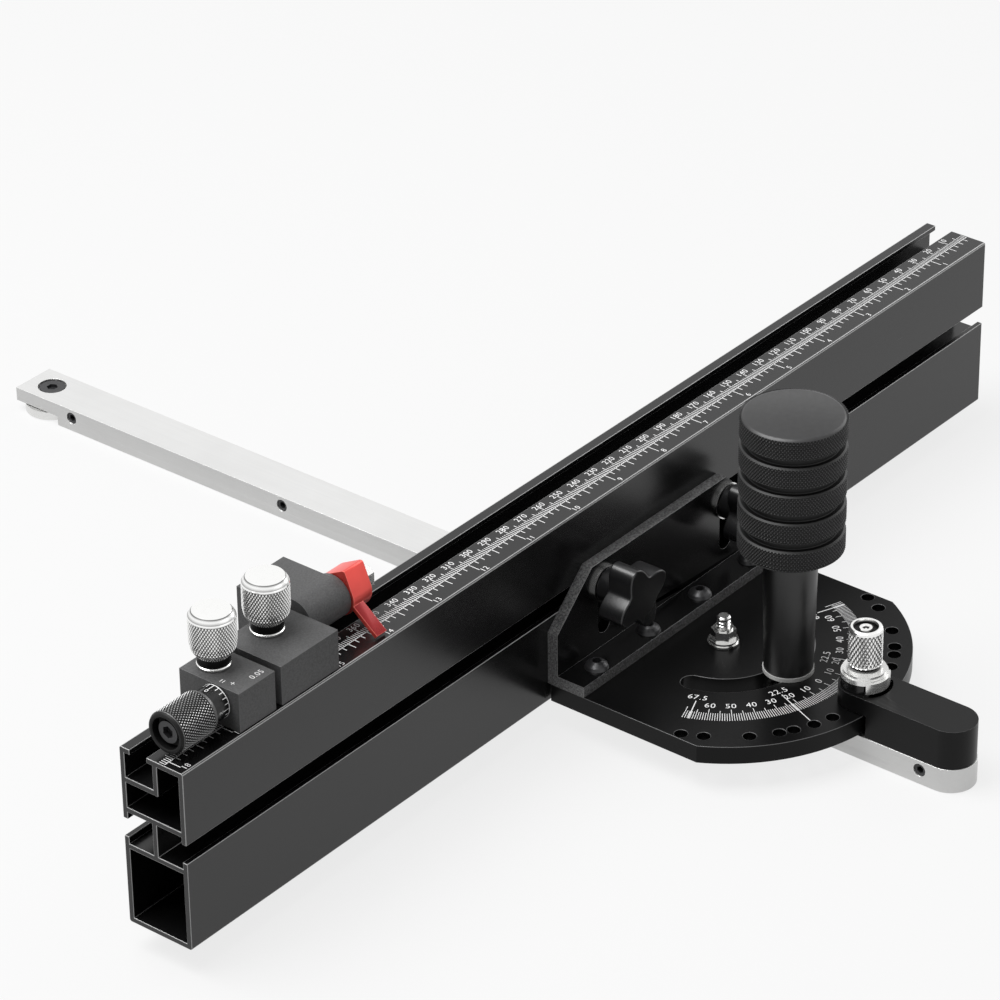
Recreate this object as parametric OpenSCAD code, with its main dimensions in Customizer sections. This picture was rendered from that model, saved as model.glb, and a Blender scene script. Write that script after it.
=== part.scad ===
// Miter gauge with a long slotted fence and a flip stop.
// Origin: the swivel axis of the head, on the underside of the bar.
// X runs along the fence to the right, Y along the bar away from the user, Z up.

/* [Bar] */
// Width of the bar, which slides in the saw's slot
bar_w = 19.05; // [16:0.05:25]
// Thickness of the bar
bar_t = 9.5; // [8:0.1:12]
// Length of the bar ahead of the swivel axis
bar_ahead = 340; // [250:5:450]
// Length of the bar behind the swivel axis, to its round end
bar_behind = 107.5; // [102:0.5:140]
// Length of the thinned far end
step_len = 22; // [20:1:35]
// Height of the step under the thinned far end
step_h = 3.8; // [3.4:0.1:4.5]
// Distance of the guide screw from the far end
guide_inset = 10.6; // [9:0.1:15]
// Diameter of the guide disc under the far end
guide_d = 22; // [20:0.5:23]
// Diameter of the guide screw's shank
guide_screw_d = 6; // [5:0.5:7]
// Diameter of the guide screw's head
guide_head_d = 10; // [9:0.5:11]
// Diameter of the side set screws
side_screw_d = 5; // [4:0.5:6]
// Length of a side set screw
side_screw_l = 5; // [4:0.5:8]
// Height of the side set screws above the underside
side_screw_z = 5.6; // [4:0.1:6]
// Distance of the first side screw from the far end
side_screw_far = 29.6; // [26:0.2:50]
// Distance of the second side screw from the far end
side_screw_mid = 138.8; // [100:0.2:200]
// Distance of the third side screw from the round end
side_screw_near = 16; // [14:0.5:18]

/* [Head plate] */
// Width of the rim outside the circle of stop holes
rim_w = 6.5; // [5:0.1:19]
// Distance of the plate's straight sides from the outermost stop holes
side_margin = 2.94; // [2.64:0.02:7.7]
// Thickness of the plate
plate_t = 7; // [6:0.5:9]
// Radius of the circle of stop holes
stop_r = 61; // [58:0.5:62]
// Diameter of a stop hole
stop_d = 4.8; // [4:0.1:5]
// Radius of the middle of the curved slot
slot_r = 28.5; // [27:0.5:32]
// Width of the curved slot
slot_w = 8.6; // [8.4:0.1:10]
// Angle of the curved slot's ends either side of square
slot_reach = 76; // [74:1:78]
// Gap between the bar and the plate, taken up by a shim
plate_lift = 1.3; // [0.3:0.1:2]
// Cut back of the plate behind the fence's face
plate_setback = 1.2; // [0.5:0.1:3]

/* [Pivot] */
// Diameter of the pivot bolt
pivot_d = 5; // [4:0.5:6]
// Diameter of the bush that the plate turns on
bush_d = 8; // [7.5:0.5:9]
// Length of the pivot bolt above the plate
pivot_above = 11.4; // [9:0.2:14]
// Diameter of the lower pivot washer
pivot_washer_d = 11.6; // [10:0.2:16]
// Width across the flats of the pivot nut
pivot_nut_af = 8; // [7:0.5:10]

/* [Pointer block and index plunger] */
// Width of the pointer block
block_w = 18.4; // [17.6:0.1:19]
// Height of the pointer block above the bar
block_h = 15.4; // [14.5:0.1:18]
// Gap between the plate's top and the tongue over it
tongue_gap = 0.4; // [0.3:0.1:1]
// Diameter of the index pin
pin_d = 4.5; // [3.5:0.1:4.6]
// Lift of the index pin out of its hole
pin_travel = 3.6; // [3:0.1:4.5]
// Diameter of the plunger's sleeve
sleeve_d = 16.8; // [12:0.2:17]
// Diameter of the plunger's collar
collar_d = 16.8; // [16:0.2:17.6]
// Height of the collar
collar_h = 3.9; // [3:0.1:5]
// Depth of the tab under the collar
tab_h = 3; // [2:0.1:3]
// Diameter of the plunger's knurled knob
plunger_knob_d = 12.3; // [10:0.1:15]
// Height of the plunger's knurled knob
plunger_knob_h = 14.8; // [12:0.2:20]

/* [Handle] */
// Diameter of the handle's grip
grip_d = 38; // [30:0.5:42]
// Height of one ring of the grip
ring_h = 8.4; // [6:0.1:10]
// Width of the groove between two rings
groove_w = 2.7; // [1.5:0.1:4]
// Depth of the grooves
groove_depth = 2.6; // [1:0.1:4]
// Number of rings on the grip
ring_count = 5; // [3:1:6]
// Height of the post between the plate and the grip
post_h = 49.5; // [40:0.5:70]
// Diameter of the post at its foot
post_foot_d = 17.8; // [16:0.1:20]
// Diameter of the post under the grip
post_head_d = 19.6; // [18:0.1:24]
// Diameter of the handle's threaded stud
stud_d = 8; // [6:0.5:8]

/* [Bracket] */
// Thickness of the bracket's upright and foot
bracket_t = 4.3; // [3:0.1:5]
// Height of the bracket's top above the plate
bracket_h = 39.7; // [38:0.1:46]
// Depth of the bracket's foot, with the upright
bracket_foot = 16; // [14:0.5:17]
// Width of the cut corner at each side of the upright
corner_w = 19.8; // [10:0.2:24]
// Height of the cut corner
corner_h = 18.5; // [10:0.5:24]
// Distance of the two upright slots from the plate's sides, on average
clamp_inset = 23.3; // [19:0.1:30]
// Shift of the two upright slots towards the right
clamp_shift = 3.5; // [0:0.5:6]
// Width of an upright slot
clamp_slot_w = 7; // [6.6:0.1:8]
// Length of an upright slot
clamp_slot_len = 27; // [24:0.5:28]
// Distance of the outer foot screws from the plate's sides
foot_screw_inset = 13.7; // [8:0.1:20.4]
// Diameter of a foot screw's round head
foot_head_d = 8.9; // [8:0.1:9.4]

/* [Clamp knobs] */
// Diameter over the knob's lobes
lobe_d = 27; // [24:0.5:30]
// Depth of the lobed part
lobe_t = 10.5; // [8:0.5:14]
// Diameter of the hub behind the lobes
hub_d = 13; // [12:0.5:16]
// Length of the hub behind the lobes
hub_t = 6; // [4:0.5:8]
// Diameter of the clamp bolts
clamp_bolt_d = 6; // [5:0.5:6.2]

/* [Fence] */
// Length of the fence
fence_l = 460; // [300:10:600]
// Distance of the fence's right end from the swivel axis
fence_right = 212.5; // [100:2.5:300]
// Height of the fence
fence_h = 69.5; // [66:0.5:80]
// Depth of the fence
fence_d = 27.5; // [27:0.5:32]
// Wall thickness of the fence
fence_wall = 2; // [1.6:0.1:2.4]
// Distance of the fence's near face from the swivel axis
fence_y = 33; // [32:0.5:38]
// Gap between the bar and the fence
fence_gap = 0.5; // [0.3:0.1:1]
// Opening of the slots in the two faces
side_slot_w = 7.1; // [6.8:0.1:8]
// Opening of the slot in the top
top_slot_w = 7.4; // [7:0.1:8]
// Width of the flat strip that carries the scale
strip_w = 15.7; // [14:0.1:16]

/* [Length stop] */
// Distance of the stop block's right face from the swivel axis
stop_right = 169.1; // [60:1:180]
// Length of the stop block along the fence
stop_l = 28.7; // [26:0.1:34]
// Length of the adjuster block along the fence
adjuster_l = 17.8; // [16:0.1:24]
// Gap between the adjuster block and the stop block
block_gap = 2.9; // [2.5:0.1:8]
// Height of the two blocks
stop_h = 15; // [14:0.5:20]
// Depth of the two blocks
stop_depth = 25.9; // [25:0.1:27]
// Diameter of a thumb knob
thumb_d = 16.3; // [13:0.1:17]
// Height of a thumb knob
thumb_h = 21; // [16:0.5:26]
// Diameter of the ring at a thumb knob's foot
thumb_foot_d = 11.7; // [10:0.1:13]
// Diameter of the thumb screws
thumb_screw_d = 6; // [4:0.5:6]
// Diameter of the fine adjuster's knurled knob
micro_d = 15.6; // [12:0.1:17]
// Length of the fine adjuster's knurled knob
micro_l = 18; // [12:0.5:24]
// Diameter of the graduated collar beside the knob
thimble_d = 12.4; // [10:0.1:13]
// Length of the graduated collar
thimble_l = 6.6; // [4:0.1:10]
// Diameter of the fine adjuster's screw
micro_screw_d = 5; // [4:0.5:5]
// Depth of the fine screw's bore in the stop block
spindle_bore = 16; // [14:0.5:20]
// Radius of the flip arm's round knuckle
knuckle_r = 7.9; // [7:0.1:9]
// Length of the flip arm's round knuckle
knuckle_l = 20.2; // [16:0.1:24]
// Reach of the flip arm beyond its hinge
arm_reach = 20.5; // [20:0.5:24]
// Thickness of the flip arm's web and leg
arm_t = 6; // [4:0.5:6]
// Length of the leg below the hinge
leg_drop = 56; // [30:1:60]
// Width of the clamp lever
lever_w = 9.6; // [6:0.1:10]
// Radius of the lever's round hub
lever_r = 7.4; // [7:0.1:7.8]
// Reach of the lever's paddle from the hinge bolt
lever_l = 20.6; // [18:0.1:22]
// Thickness of the lever's paddle
lever_t = 1.6; // [1.2:0.1:2.4]
// Width of the lever's paddle
paddle_w = 5; // [4:0.5:6]
// Diameter of the hinge bolt
hinge_bolt_d = 6; // [5:0.5:7]
// Depth of the hinge bolt in the stop block
hinge_bolt_depth = 8; // [5:0.5:9]

/* [Clearances] */
// Radial clearance of pins and screws that turn
turn_fit = 0.06; // [0.02:0.01:0.1]
// Clearance between parts that slide
slide_gap = 0.3; // [0.2:0.05:0.5]

/* [Hidden] */
$fn = 64;
cut = 1;

stop_angles = [-67.5, -60, -45, -35, -30, -22.5, -15, 0, 15, 22.5, 30, 35, 45, 60, 67.5];
plate_r = stop_r + rim_w;
plate_half_w = stop_r * sin(stop_angles[len(stop_angles) - 1]) + side_margin;
plate_z = bar_t + plate_lift;
plate_top = plate_z + plate_t;
plate_front = fence_y - plate_setback;
slot_steps = 60;
cap_steps = 14;
pivot_low_z = 3;
bar_end_y = bar_ahead - guide_inset;
guide_sink = 2.6;
guide_room = 0.7;
guide_screw_low = 0.6;
disc_gap = 0.2;
side_screw_ys = [bar_ahead - side_screw_far, bar_ahead - side_screw_mid, side_screw_near - bar_behind];
side_screw_sink = 0.6;
side_screw_spare = 0.4;
side_socket_af = side_screw_d / 2;

block_top = bar_t + block_h;
tongue_z = plate_top + tongue_gap;
block_rear_y = block_w / 2 - bar_behind + 0.4;
block_front_y = -plate_r - 0.8;
sleeve_seat_z = block_top - pin_travel - 2 * slide_gap;
sleeve_low_z = block_top - slide_gap;
collar_z = block_top + pin_travel + 0.1;
tab_in_r = sleeve_d / 2 - 2.2;
tab_out_r = block_w / 2 - 0.1;
tab_from = -142;
tab_sweep = 96;
tab_gap_angle = 4;
tab_room = 0.5;
pin_low_z = plate_top + slide_gap;
plunger_neck_h = 1;
plunger_knob_z = collar_z + collar_h + plunger_neck_h;
knob_pin_depth = 2;
block_screw_ys = [block_front_y - 8, block_rear_y - 3];
block_screw_d = 4;
block_screw_reach = 7;
block_screw_low = 0.5;
block_screw_head_d = 7;
block_screw_head_h = 4;
block_screw_seat_d = block_screw_head_d + 0.6;

washer_t = 1.5;
stud_low_z = 0.8;
stud_reach = 12;
post_z = plate_top + washer_t;
grip_z = post_z + post_h;
grip_bore_r = 5;
grip_bore_depth = 12;
grip_h = ring_count * ring_h + (ring_count - 1) * groove_w;

upright_y = fence_y - bracket_t;
foot_y = fence_y - bracket_foot;
bracket_top = plate_top + bracket_h;
clamp_half = plate_half_w - clamp_inset;
clamp_xs = [clamp_shift - clamp_half, clamp_shift + clamp_half];
clamp_slot_rise = 6.5;
foot_screw_pitch = (plate_half_w - foot_screw_inset) / 1.5;
foot_screw_xs = [for (i = [-1.5, -0.5, 0.5, 1.5]) i * foot_screw_pitch];
foot_screw_y = (foot_y + upright_y) / 2 - 0.9;
foot_screw_d = 5;
foot_screw_low = 0.5;
foot_head_h = foot_head_d * 0.29;
foot_socket_af = foot_head_d / 3;

fence_z = bar_t + fence_gap;
fence_top = fence_z + fence_h;
fence_left = fence_right - fence_l;
side_slot_z = fence_h - 28 - side_slot_w / 2;
lip = 2;
cavity_h = side_slot_w + 5.4;
web = 2;
top_cavity_depth = 9.5;
top_slot_y = strip_w + top_slot_w / 2;
top_cavity_w = top_slot_w + 4.8;

clamp_z = fence_z + side_slot_z;
clamp_washer_t = 1.2;
clamp_washer_d = 14;
hub_y = upright_y - clamp_washer_t - 0.1;
knob_bore = hub_t + 4;
bolt_end_y = hub_y - knob_bore + 1;
bolt_head_y = fence_y + fence_wall + slide_gap;
bolt_head_t = 4;
bolt_head_w = 10.4;

stop_z = fence_top + slide_gap;
stop_y = fence_y + 0.8;
stop_top = stop_z + stop_h;
stop_x = -stop_right;
adjuster_x = stop_x - stop_l - block_gap;
slot_line_y = fence_y + top_slot_y;
adjuster_thumb_shift = 0.1;
stop_thumb_shift = 0.3;
thumb_xs = [adjuster_x - adjuster_l / 2 + adjuster_thumb_shift, stop_x - stop_l / 2 + stop_thumb_shift];
thumb_bore = 8;
tnut_h = 4;
tnut_z = fence_top - lip - slide_gap - tnut_h;
tnut_w = top_cavity_w - 2 * slide_gap;
tnut_l = 14;
micro_y = stop_y + 9.7;
micro_z = stop_z + 8.9;
thimble_x = adjuster_x - adjuster_l - 0.4;
micro_x = thimble_x - thimble_l;
micro_recess = 4;
spindle_reach = spindle_bore - 3;
spindle_head_l = 2.6;
spindle_head_d = 8;
spindle_socket_af = 4;
hinge_y = slot_line_y + 1.1;
hinge_z = stop_z + 11;
knuckle_x = stop_x + slide_gap;
arm_right_x = knuckle_x + knuckle_l - 1.4;
leg_left_x = thumb_xs[1] + thumb_d / 2 + 1.2;
lever_x = knuckle_x + knuckle_l + slide_gap;
arm_washer_x = lever_x + lever_w + 0.1;
arm_washer_t = 1.3;
arm_washer_d = 11.5;
arm_nut_t = 5;
arm_nut_af = 8.5;
bolt_spare = 1.4;
lever_shift = 1.4;
lip_reach = 11.5;
lip_angle = 114;
paddle_root = 5;
paddle_side = 2.35;
paddle_fall = hinge_z - fence_top + 1.4;
paddle_angle = 180 + asin(paddle_fall / lever_l);

// A sector of a ring about the Z axis
module ring_sector(inner, outer, from, sweep, height) {
    rotate([0, 0, from])
        rotate_extrude(angle = sweep)
            translate([inner, 0])
                square([outer - inner, height]);
}

// A round hole or pin along X
module along_x(d, length) {
    rotate([0, 90, 0])
        cylinder(d = d, h = length);
}

// A round hole or pin along Y, towards the far side
module along_y(d, length) {
    rotate([-90, 0, 0])
        cylinder(d = d, h = length);
}

// A six-sided prism with its flats a given width apart
module hexagon(af, height) {
    cylinder(d = af / cos(30), h = height, $fn = 6);
}

// A machine screw that stands head up, with a hexagon socket in its head
module socket_screw(d, length, head_d, head_h, socket_af) {
    difference() {
        union() {
            cylinder(d = d, h = length);
            translate([0, 0, length])
                cylinder(d = head_d, h = head_h);
        }
        translate([0, 0, length + head_h * 0.4])
            hexagon(socket_af, head_h);
    }
}

// A stretch of bar with square or round ends, drawn from above
module stadium(width, rear_y, front_y, height) {
    translate([-width / 2, rear_y, 0])
        cube([width, front_y - rear_y, height]);
    translate([0, rear_y, 0])
        cylinder(d = width, h = height, $fn = 96);
}

module miter_bar() color("gainsboro") {
    rear = bar_w / 2 - bar_behind;
    difference() {
        stadium(bar_w, rear, bar_ahead, bar_t);
        translate([-bar_w, bar_ahead - step_len, -cut])
            cube([2 * bar_w, step_len + cut, step_h + cut]);
        translate([0, bar_end_y, 0])
            cylinder(d = guide_screw_d, h = bar_t + cut);
        translate([0, bar_end_y, bar_t - guide_sink])
            cylinder(d = guide_head_d + 2 * guide_room, h = guide_sink + cut);
        translate([0, 0, pivot_low_z])
            cylinder(d = pivot_d, h = bar_t + cut);
        translate([0, -slot_r, -cut])
            cylinder(d = stud_d + 2 * turn_fit, h = bar_t + 2 * cut);
        for (y = side_screw_ys)
            translate([-bar_w / 2 - cut, y, side_screw_z])
                along_x(side_screw_d, side_screw_sink + side_screw_l + side_screw_spare + cut);
        for (y = block_screw_ys) {
            translate([0, y, -cut])
                cylinder(d = block_screw_d + 2 * turn_fit, h = bar_t + 2 * cut);
            translate([0, y, -cut])
                cylinder(d = block_screw_seat_d, h = block_screw_low + block_screw_head_h + cut);
        }
    }
}

module guide_disc() color("silver") {
    translate([0, bar_end_y, disc_gap])
        difference() {
            cylinder(d = guide_d, h = step_h - 2 * disc_gap, $fn = 96);
            translate([0, 0, -cut])
                cylinder(d = guide_screw_d, h = step_h + 2 * cut);
        }
}

module guide_screw() color("dimgray") {
    length = bar_t - guide_sink - guide_screw_low;
    translate([0, bar_end_y, guide_screw_low])
        socket_screw(guide_screw_d, length, guide_head_d, guide_sink - 0.4, guide_head_d * 0.4);
}

module side_set_screws() color("dimgray") {
    for (y = side_screw_ys)
        translate([-bar_w / 2 + side_screw_sink, y, side_screw_z])
            difference() {
                along_x(side_screw_d, side_screw_l);
                translate([-cut, 0, 0])
                    rotate([0, 90, 0])
                        hexagon(side_socket_af, side_socket_af + cut);
            }
}

module pointer_block() color("black") {
    difference() {
        union() {
            translate([0, 0, bar_t])
                stadium(block_w, block_rear_y, block_front_y, tongue_z - bar_t);
            translate([0, 0, tongue_z])
                stadium(block_w, block_rear_y, -stop_r, block_top - tongue_z);
            translate([0, -stop_r, tongue_z])
                cylinder(d = block_w, h = block_top - tongue_z, $fn = 96);
        }
        translate([0, -stop_r, sleeve_seat_z])
            cylinder(d = sleeve_d + 2 * turn_fit, h = block_top);
        translate([0, -stop_r, tongue_z - cut])
            cylinder(d = pin_d + 2 * turn_fit, h = block_top);
        translate([0, -stop_r, collar_z - tab_h - pin_travel - slide_gap])
            tab_notch(sleeve_d / 2 - tab_room, block_top);
        for (y = block_screw_ys)
            translate([0, y, bar_t - cut])
                cylinder(d = block_screw_d, h = block_screw_reach + 1 + cut);
    }
}

// Room for the collar's tab, from a radius out past the block's side
module tab_notch(inner, height) {
    ring_sector(inner, block_w / 2 + cut, tab_from - tab_gap_angle, tab_sweep + 2 * tab_gap_angle, height);
}

module block_screws() color("dimgray") {
    length = bar_t + block_screw_reach - block_screw_low - block_screw_head_h;
    for (y = block_screw_ys)
        translate([0, y, bar_t + block_screw_reach])
            rotate([180, 0, 0])
                socket_screw(block_screw_d, length, block_screw_head_d, block_screw_head_h, block_screw_d - 1);
}

module pivot_bolt() color("silver") {
    translate([0, 0, pivot_low_z])
        cylinder(d = pivot_d, h = plate_top + pivot_above - pivot_low_z - 0.6);
    translate([0, 0, plate_top + pivot_above - 0.6])
        cylinder(d1 = pivot_d, d2 = pivot_d - 1.2, h = 0.6);
}

module pivot_bush() color("silver") {
    translate([0, 0, bar_t])
        difference() {
            cylinder(d = bush_d, h = plate_lift + plate_t + 0.2);
            translate([0, 0, -cut])
                cylinder(d = pivot_d, h = plate_t + 4 * cut);
        }
}

module pivot_shim() color("ivory") {
    translate([0, 0, bar_t])
        difference() {
            cylinder(d = 16, h = plate_lift);
            translate([0, 0, -cut])
                cylinder(d = bush_d, h = plate_lift + 2 * cut);
        }
}

module pivot_washer() color("silver") {
    translate([0, 0, plate_top + 0.2])
        difference() {
            union() {
                cylinder(d = pivot_washer_d, h = 0.9);
                cylinder(d = pivot_washer_d - 0.9, h = 1.9);
            }
            translate([0, 0, -cut])
                cylinder(d = pivot_d, h = 4);
        }
}

module pivot_nut() color("silver") {
    translate([0, 0, plate_top + 2.1])
        difference() {
            union() {
                hexagon(pivot_nut_af, 4);
                translate([0, 0, 4])
                    cylinder(d = pivot_nut_af - 1.2, h = 0.8);
            }
            translate([0, 0, -cut])
                cylinder(d = pivot_d, h = 8);
        }
}

module plunger_pin() color("silver") {
    translate([0, -stop_r, pin_low_z])
        cylinder(d = pin_d, h = plunger_knob_z + knob_pin_depth - pin_low_z);
}

module plunger_sleeve() color("black") {
    translate([0, -stop_r, sleeve_low_z])
        difference() {
            cylinder(d = sleeve_d, h = collar_z - sleeve_low_z, $fn = 96);
            translate([0, 0, -cut])
                cylinder(d = pin_d, h = 10);
            translate([0, 0, -cut])
                tab_notch(tab_in_r - tab_room, 10);
        }
}

module plunger_collar() color("silver") {
    translate([0, -stop_r, collar_z])
        difference() {
            union() {
                cylinder(d = collar_d, h = collar_h * 0.45, $fn = 96);
                cylinder(d = collar_d - 1.2, h = collar_h * 0.75, $fn = 96);
                cylinder(d = plunger_knob_d + 0.6, h = collar_h, $fn = 96);
                translate([0, 0, -tab_h])
                    ring_sector(tab_in_r, tab_out_r, tab_from, tab_sweep, tab_h + 1);
            }
            translate([0, 0, -tab_h - cut])
                cylinder(d = pin_d, h = 20);
        }
}

module plunger_knob() color("gainsboro") {
    translate([0, -stop_r, plunger_knob_z - plunger_neck_h])
        difference() {
            union() {
                cylinder(d = plunger_knob_d - 2, h = plunger_neck_h, $fn = 96);
                translate([0, 0, plunger_neck_h])
                    cylinder(d = plunger_knob_d, h = plunger_knob_h - 0.8, $fn = 96);
                translate([0, 0, plunger_neck_h + plunger_knob_h - 0.8])
                    cylinder(d1 = plunger_knob_d, d2 = plunger_knob_d - 1.2, h = 0.8, $fn = 96);
            }
            translate([0, 0, -cut])
                cylinder(d = pin_d, h = plunger_neck_h + knob_pin_depth + cut);
            translate([0, 0, plunger_neck_h + plunger_knob_h - 1.6])
                difference() {
                    cylinder(d = plunger_knob_d - 3.4, h = 3);
                    cylinder(d = plunger_knob_d - 7.6, h = 3);
                }
        }
}

module handle_washer() color("silver") {
    translate([0, -slot_r, plate_top])
        difference() {
            cylinder(d = post_foot_d + 0.6, h = washer_t, $fn = 96);
            translate([0, 0, -cut])
                cylinder(d = stud_d + 2 * turn_fit, h = washer_t + 2 * cut);
        }
}

module handle_stud() color("silver") {
    translate([0, -slot_r, stud_low_z])
        cylinder(d = stud_d, h = post_z + stud_reach - stud_low_z);
}

module handle_post() color("black") {
    translate([0, -slot_r, post_z])
        difference() {
            union() {
                cylinder(d1 = post_foot_d, d2 = post_head_d, h = post_h, $fn = 96);
                translate([0, 0, post_h])
                    cylinder(r = grip_bore_r, h = grip_bore_depth);
            }
            translate([0, 0, -cut])
                cylinder(d = stud_d, h = stud_reach + cut);
        }
}

// Half section of the ringed grip, drawn beside the Z axis
module grip_profile() {
    r = grip_d / 2;
    pitch = ring_h + groove_w;
    bevel = 1.2;
    difference() {
        polygon([
            [0, 0], [r - bevel, 0], [r, bevel], [r, grip_h - bevel], [r - bevel, grip_h], [0, grip_h]
        ]);
        for (i = [1 : ring_count - 1])
            translate([r - groove_depth, i * pitch - groove_w])
                square([groove_depth + cut, groove_w]);
        square([grip_bore_r, grip_bore_depth]);
    }
}

module handle_grip() color("black") {
    translate([0, -slot_r, grip_z])
        rotate_extrude($fn = 128)
            grip_profile();
}

// The plate's blank: a round rim cut by two straight sides and a straight front
module plate_blank() {
    intersection() {
        union() {
            translate([0, 0, plate_z])
                cylinder(r = plate_r, h = plate_t, $fn = 180);
            translate([-plate_half_w - cut, 0, plate_z])
                cube([2 * plate_half_w + 2 * cut, plate_front, plate_t]);
        }
        translate([-plate_half_w, -plate_r - cut, plate_z])
            cube([2 * plate_half_w, plate_r + cut + plate_front, plate_t]);
    }
}

// A point on a circle about the swivel axis, its angle counted from straight behind
function behind(r, a) = [r * sin(a), -r * cos(a)];

// A point on the round end of the curved slot, at one side
function slot_cap(side, a) =
    let (c = behind(slot_r, side * slot_reach), b = behind(slot_w / 2, side * slot_reach + a))
        [c[0] + b[0], c[1] + b[1]];

// Outline of the curved slot: outer arc, round end, inner arc, round end
module curved_slot_outline() {
    outer = slot_r + slot_w / 2;
    inner = slot_r - slot_w / 2;
    polygon([
        for (i = [0 : slot_steps]) behind(outer, -slot_reach + i * 2 * slot_reach / slot_steps),
        for (i = [1 : cap_steps - 1]) slot_cap(1, i * 180 / cap_steps),
        for (i = [0 : slot_steps]) behind(inner, slot_reach - i * 2 * slot_reach / slot_steps),
        for (i = [1 : cap_steps - 1]) slot_cap(-1, -180 + i * 180 / cap_steps)
    ]);
}

module protractor_plate() color("black") {
    difference() {
        plate_blank();
        translate([0, 0, plate_z - cut])
            cylinder(d = bush_d + 2 * turn_fit, h = plate_t + 2 * cut);
        translate([0, 0, plate_z - cut])
            linear_extrude(plate_t + 2 * cut)
                curved_slot_outline();
        for (a = stop_angles)
            rotate([0, 0, a])
                translate([0, -stop_r, plate_z - cut])
                    cylinder(d = stop_d, h = plate_t + 2 * cut);
        for (x = foot_screw_xs)
            translate([x, foot_screw_y, plate_z - cut])
                cylinder(d = foot_screw_d, h = plate_t + 2 * cut);
    }
}

module fence_bracket() color("black") {
    difference() {
        union() {
            translate([0, fence_y, plate_top])
                rotate([90, 0, 0])
                    linear_extrude(bracket_t)
                        polygon([
                            [-plate_half_w, 0], [plate_half_w, 0],
                            [plate_half_w, bracket_h - corner_h],
                            [plate_half_w - corner_w, bracket_h],
                            [corner_w - plate_half_w, bracket_h],
                            [-plate_half_w, bracket_h - corner_h]
                        ]);
            translate([-plate_half_w, foot_y, plate_top])
                cube([2 * plate_half_w, bracket_foot - bracket_t / 2, bracket_t]);
        }
        for (x = clamp_xs)
            translate([x, upright_y - cut, clamp_z + clamp_slot_rise])
                rotate([-90, 0, 0])
                    slot_prism(clamp_slot_w, clamp_slot_len, bracket_t + 2 * cut);
        for (x = foot_screw_xs)
            translate([x, foot_screw_y, plate_top - cut])
                cylinder(d = foot_screw_d, h = bracket_t + 2 * cut);
    }
}

// An upright slot with round ends, hanging down from its top end
module slot_prism(width, length, depth) {
    r = width / 2;
    translate([0, r, 0])
        cylinder(d = width, h = depth);
    translate([0, length - r, 0])
        cylinder(d = width, h = depth);
    translate([-r, r, 0])
        cube([width, length - width, depth]);
}

module bracket_screws() color("black") {
    r = foot_head_d / 2;
    length = plate_t + bracket_t - foot_screw_low;
    for (x = foot_screw_xs)
        translate([x, foot_screw_y, plate_z + foot_screw_low])
            difference() {
                union() {
                    cylinder(d = foot_screw_d, h = length);
                    translate([0, 0, length])
                        rotate_extrude()
                            polygon([
                                [0, 0], [r, 0], [r * 0.89, foot_head_h * 0.46],
                                [r * 0.64, foot_head_h * 0.81], [r * 0.42, foot_head_h], [0, foot_head_h]
                            ]);
                }
                translate([0, 0, length + foot_head_h * 0.15])
                    hexagon(foot_socket_af, foot_head_h);
            }
}

module clamp_bolts() color("silver") {
    for (x = clamp_xs)
        translate([x, 0, clamp_z]) {
            translate([0, bolt_end_y, 0])
                along_y(clamp_bolt_d, bolt_head_y - bolt_end_y);
            translate([-bolt_head_w / 2, bolt_head_y, -bolt_head_w / 2])
                cube([bolt_head_w, bolt_head_t, bolt_head_w]);
        }
}

module clamp_washers() color("silver") {
    for (x = clamp_xs)
        translate([x, upright_y - clamp_washer_t, clamp_z])
            difference() {
                along_y(clamp_washer_d, clamp_washer_t);
                translate([0, -cut, 0])
                    along_y(clamp_bolt_d, clamp_washer_t + 2 * cut);
            }
}

// Outline of a four-lobed knob: its radius swings between lobe and valley
module lobed_outline() {
    steps = 96;
    mean = lobe_d * 0.4;
    swing = lobe_d * 0.1;
    polygon([
        for (i = [0 : steps - 1])
            let (a = i * 360 / steps, r = mean + swing * cos(4 * a))
                [r * cos(a), r * sin(a)]
    ]);
}

// A clamp knob with its bore, its hub against the washer
module clamp_knob(x, turn) {
    translate([x, hub_y, clamp_z])
        rotate([90, 0, 0])
            difference() {
                union() {
                    cylinder(d = hub_d, h = hub_t);
                    translate([0, 0, hub_t])
                        rotate([0, 0, turn])
                            linear_extrude(lobe_t)
                                lobed_outline();
                }
                translate([0, 0, -cut])
                    cylinder(d = clamp_bolt_d + 2 * turn_fit, h = knob_bore + cut);
            }
}

module clamp_knob_left() color("black") {
    clamp_knob(clamp_xs[0], 20);
}

module clamp_knob_right() color("black") {
    clamp_knob(clamp_xs[1], 35);
}

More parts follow.
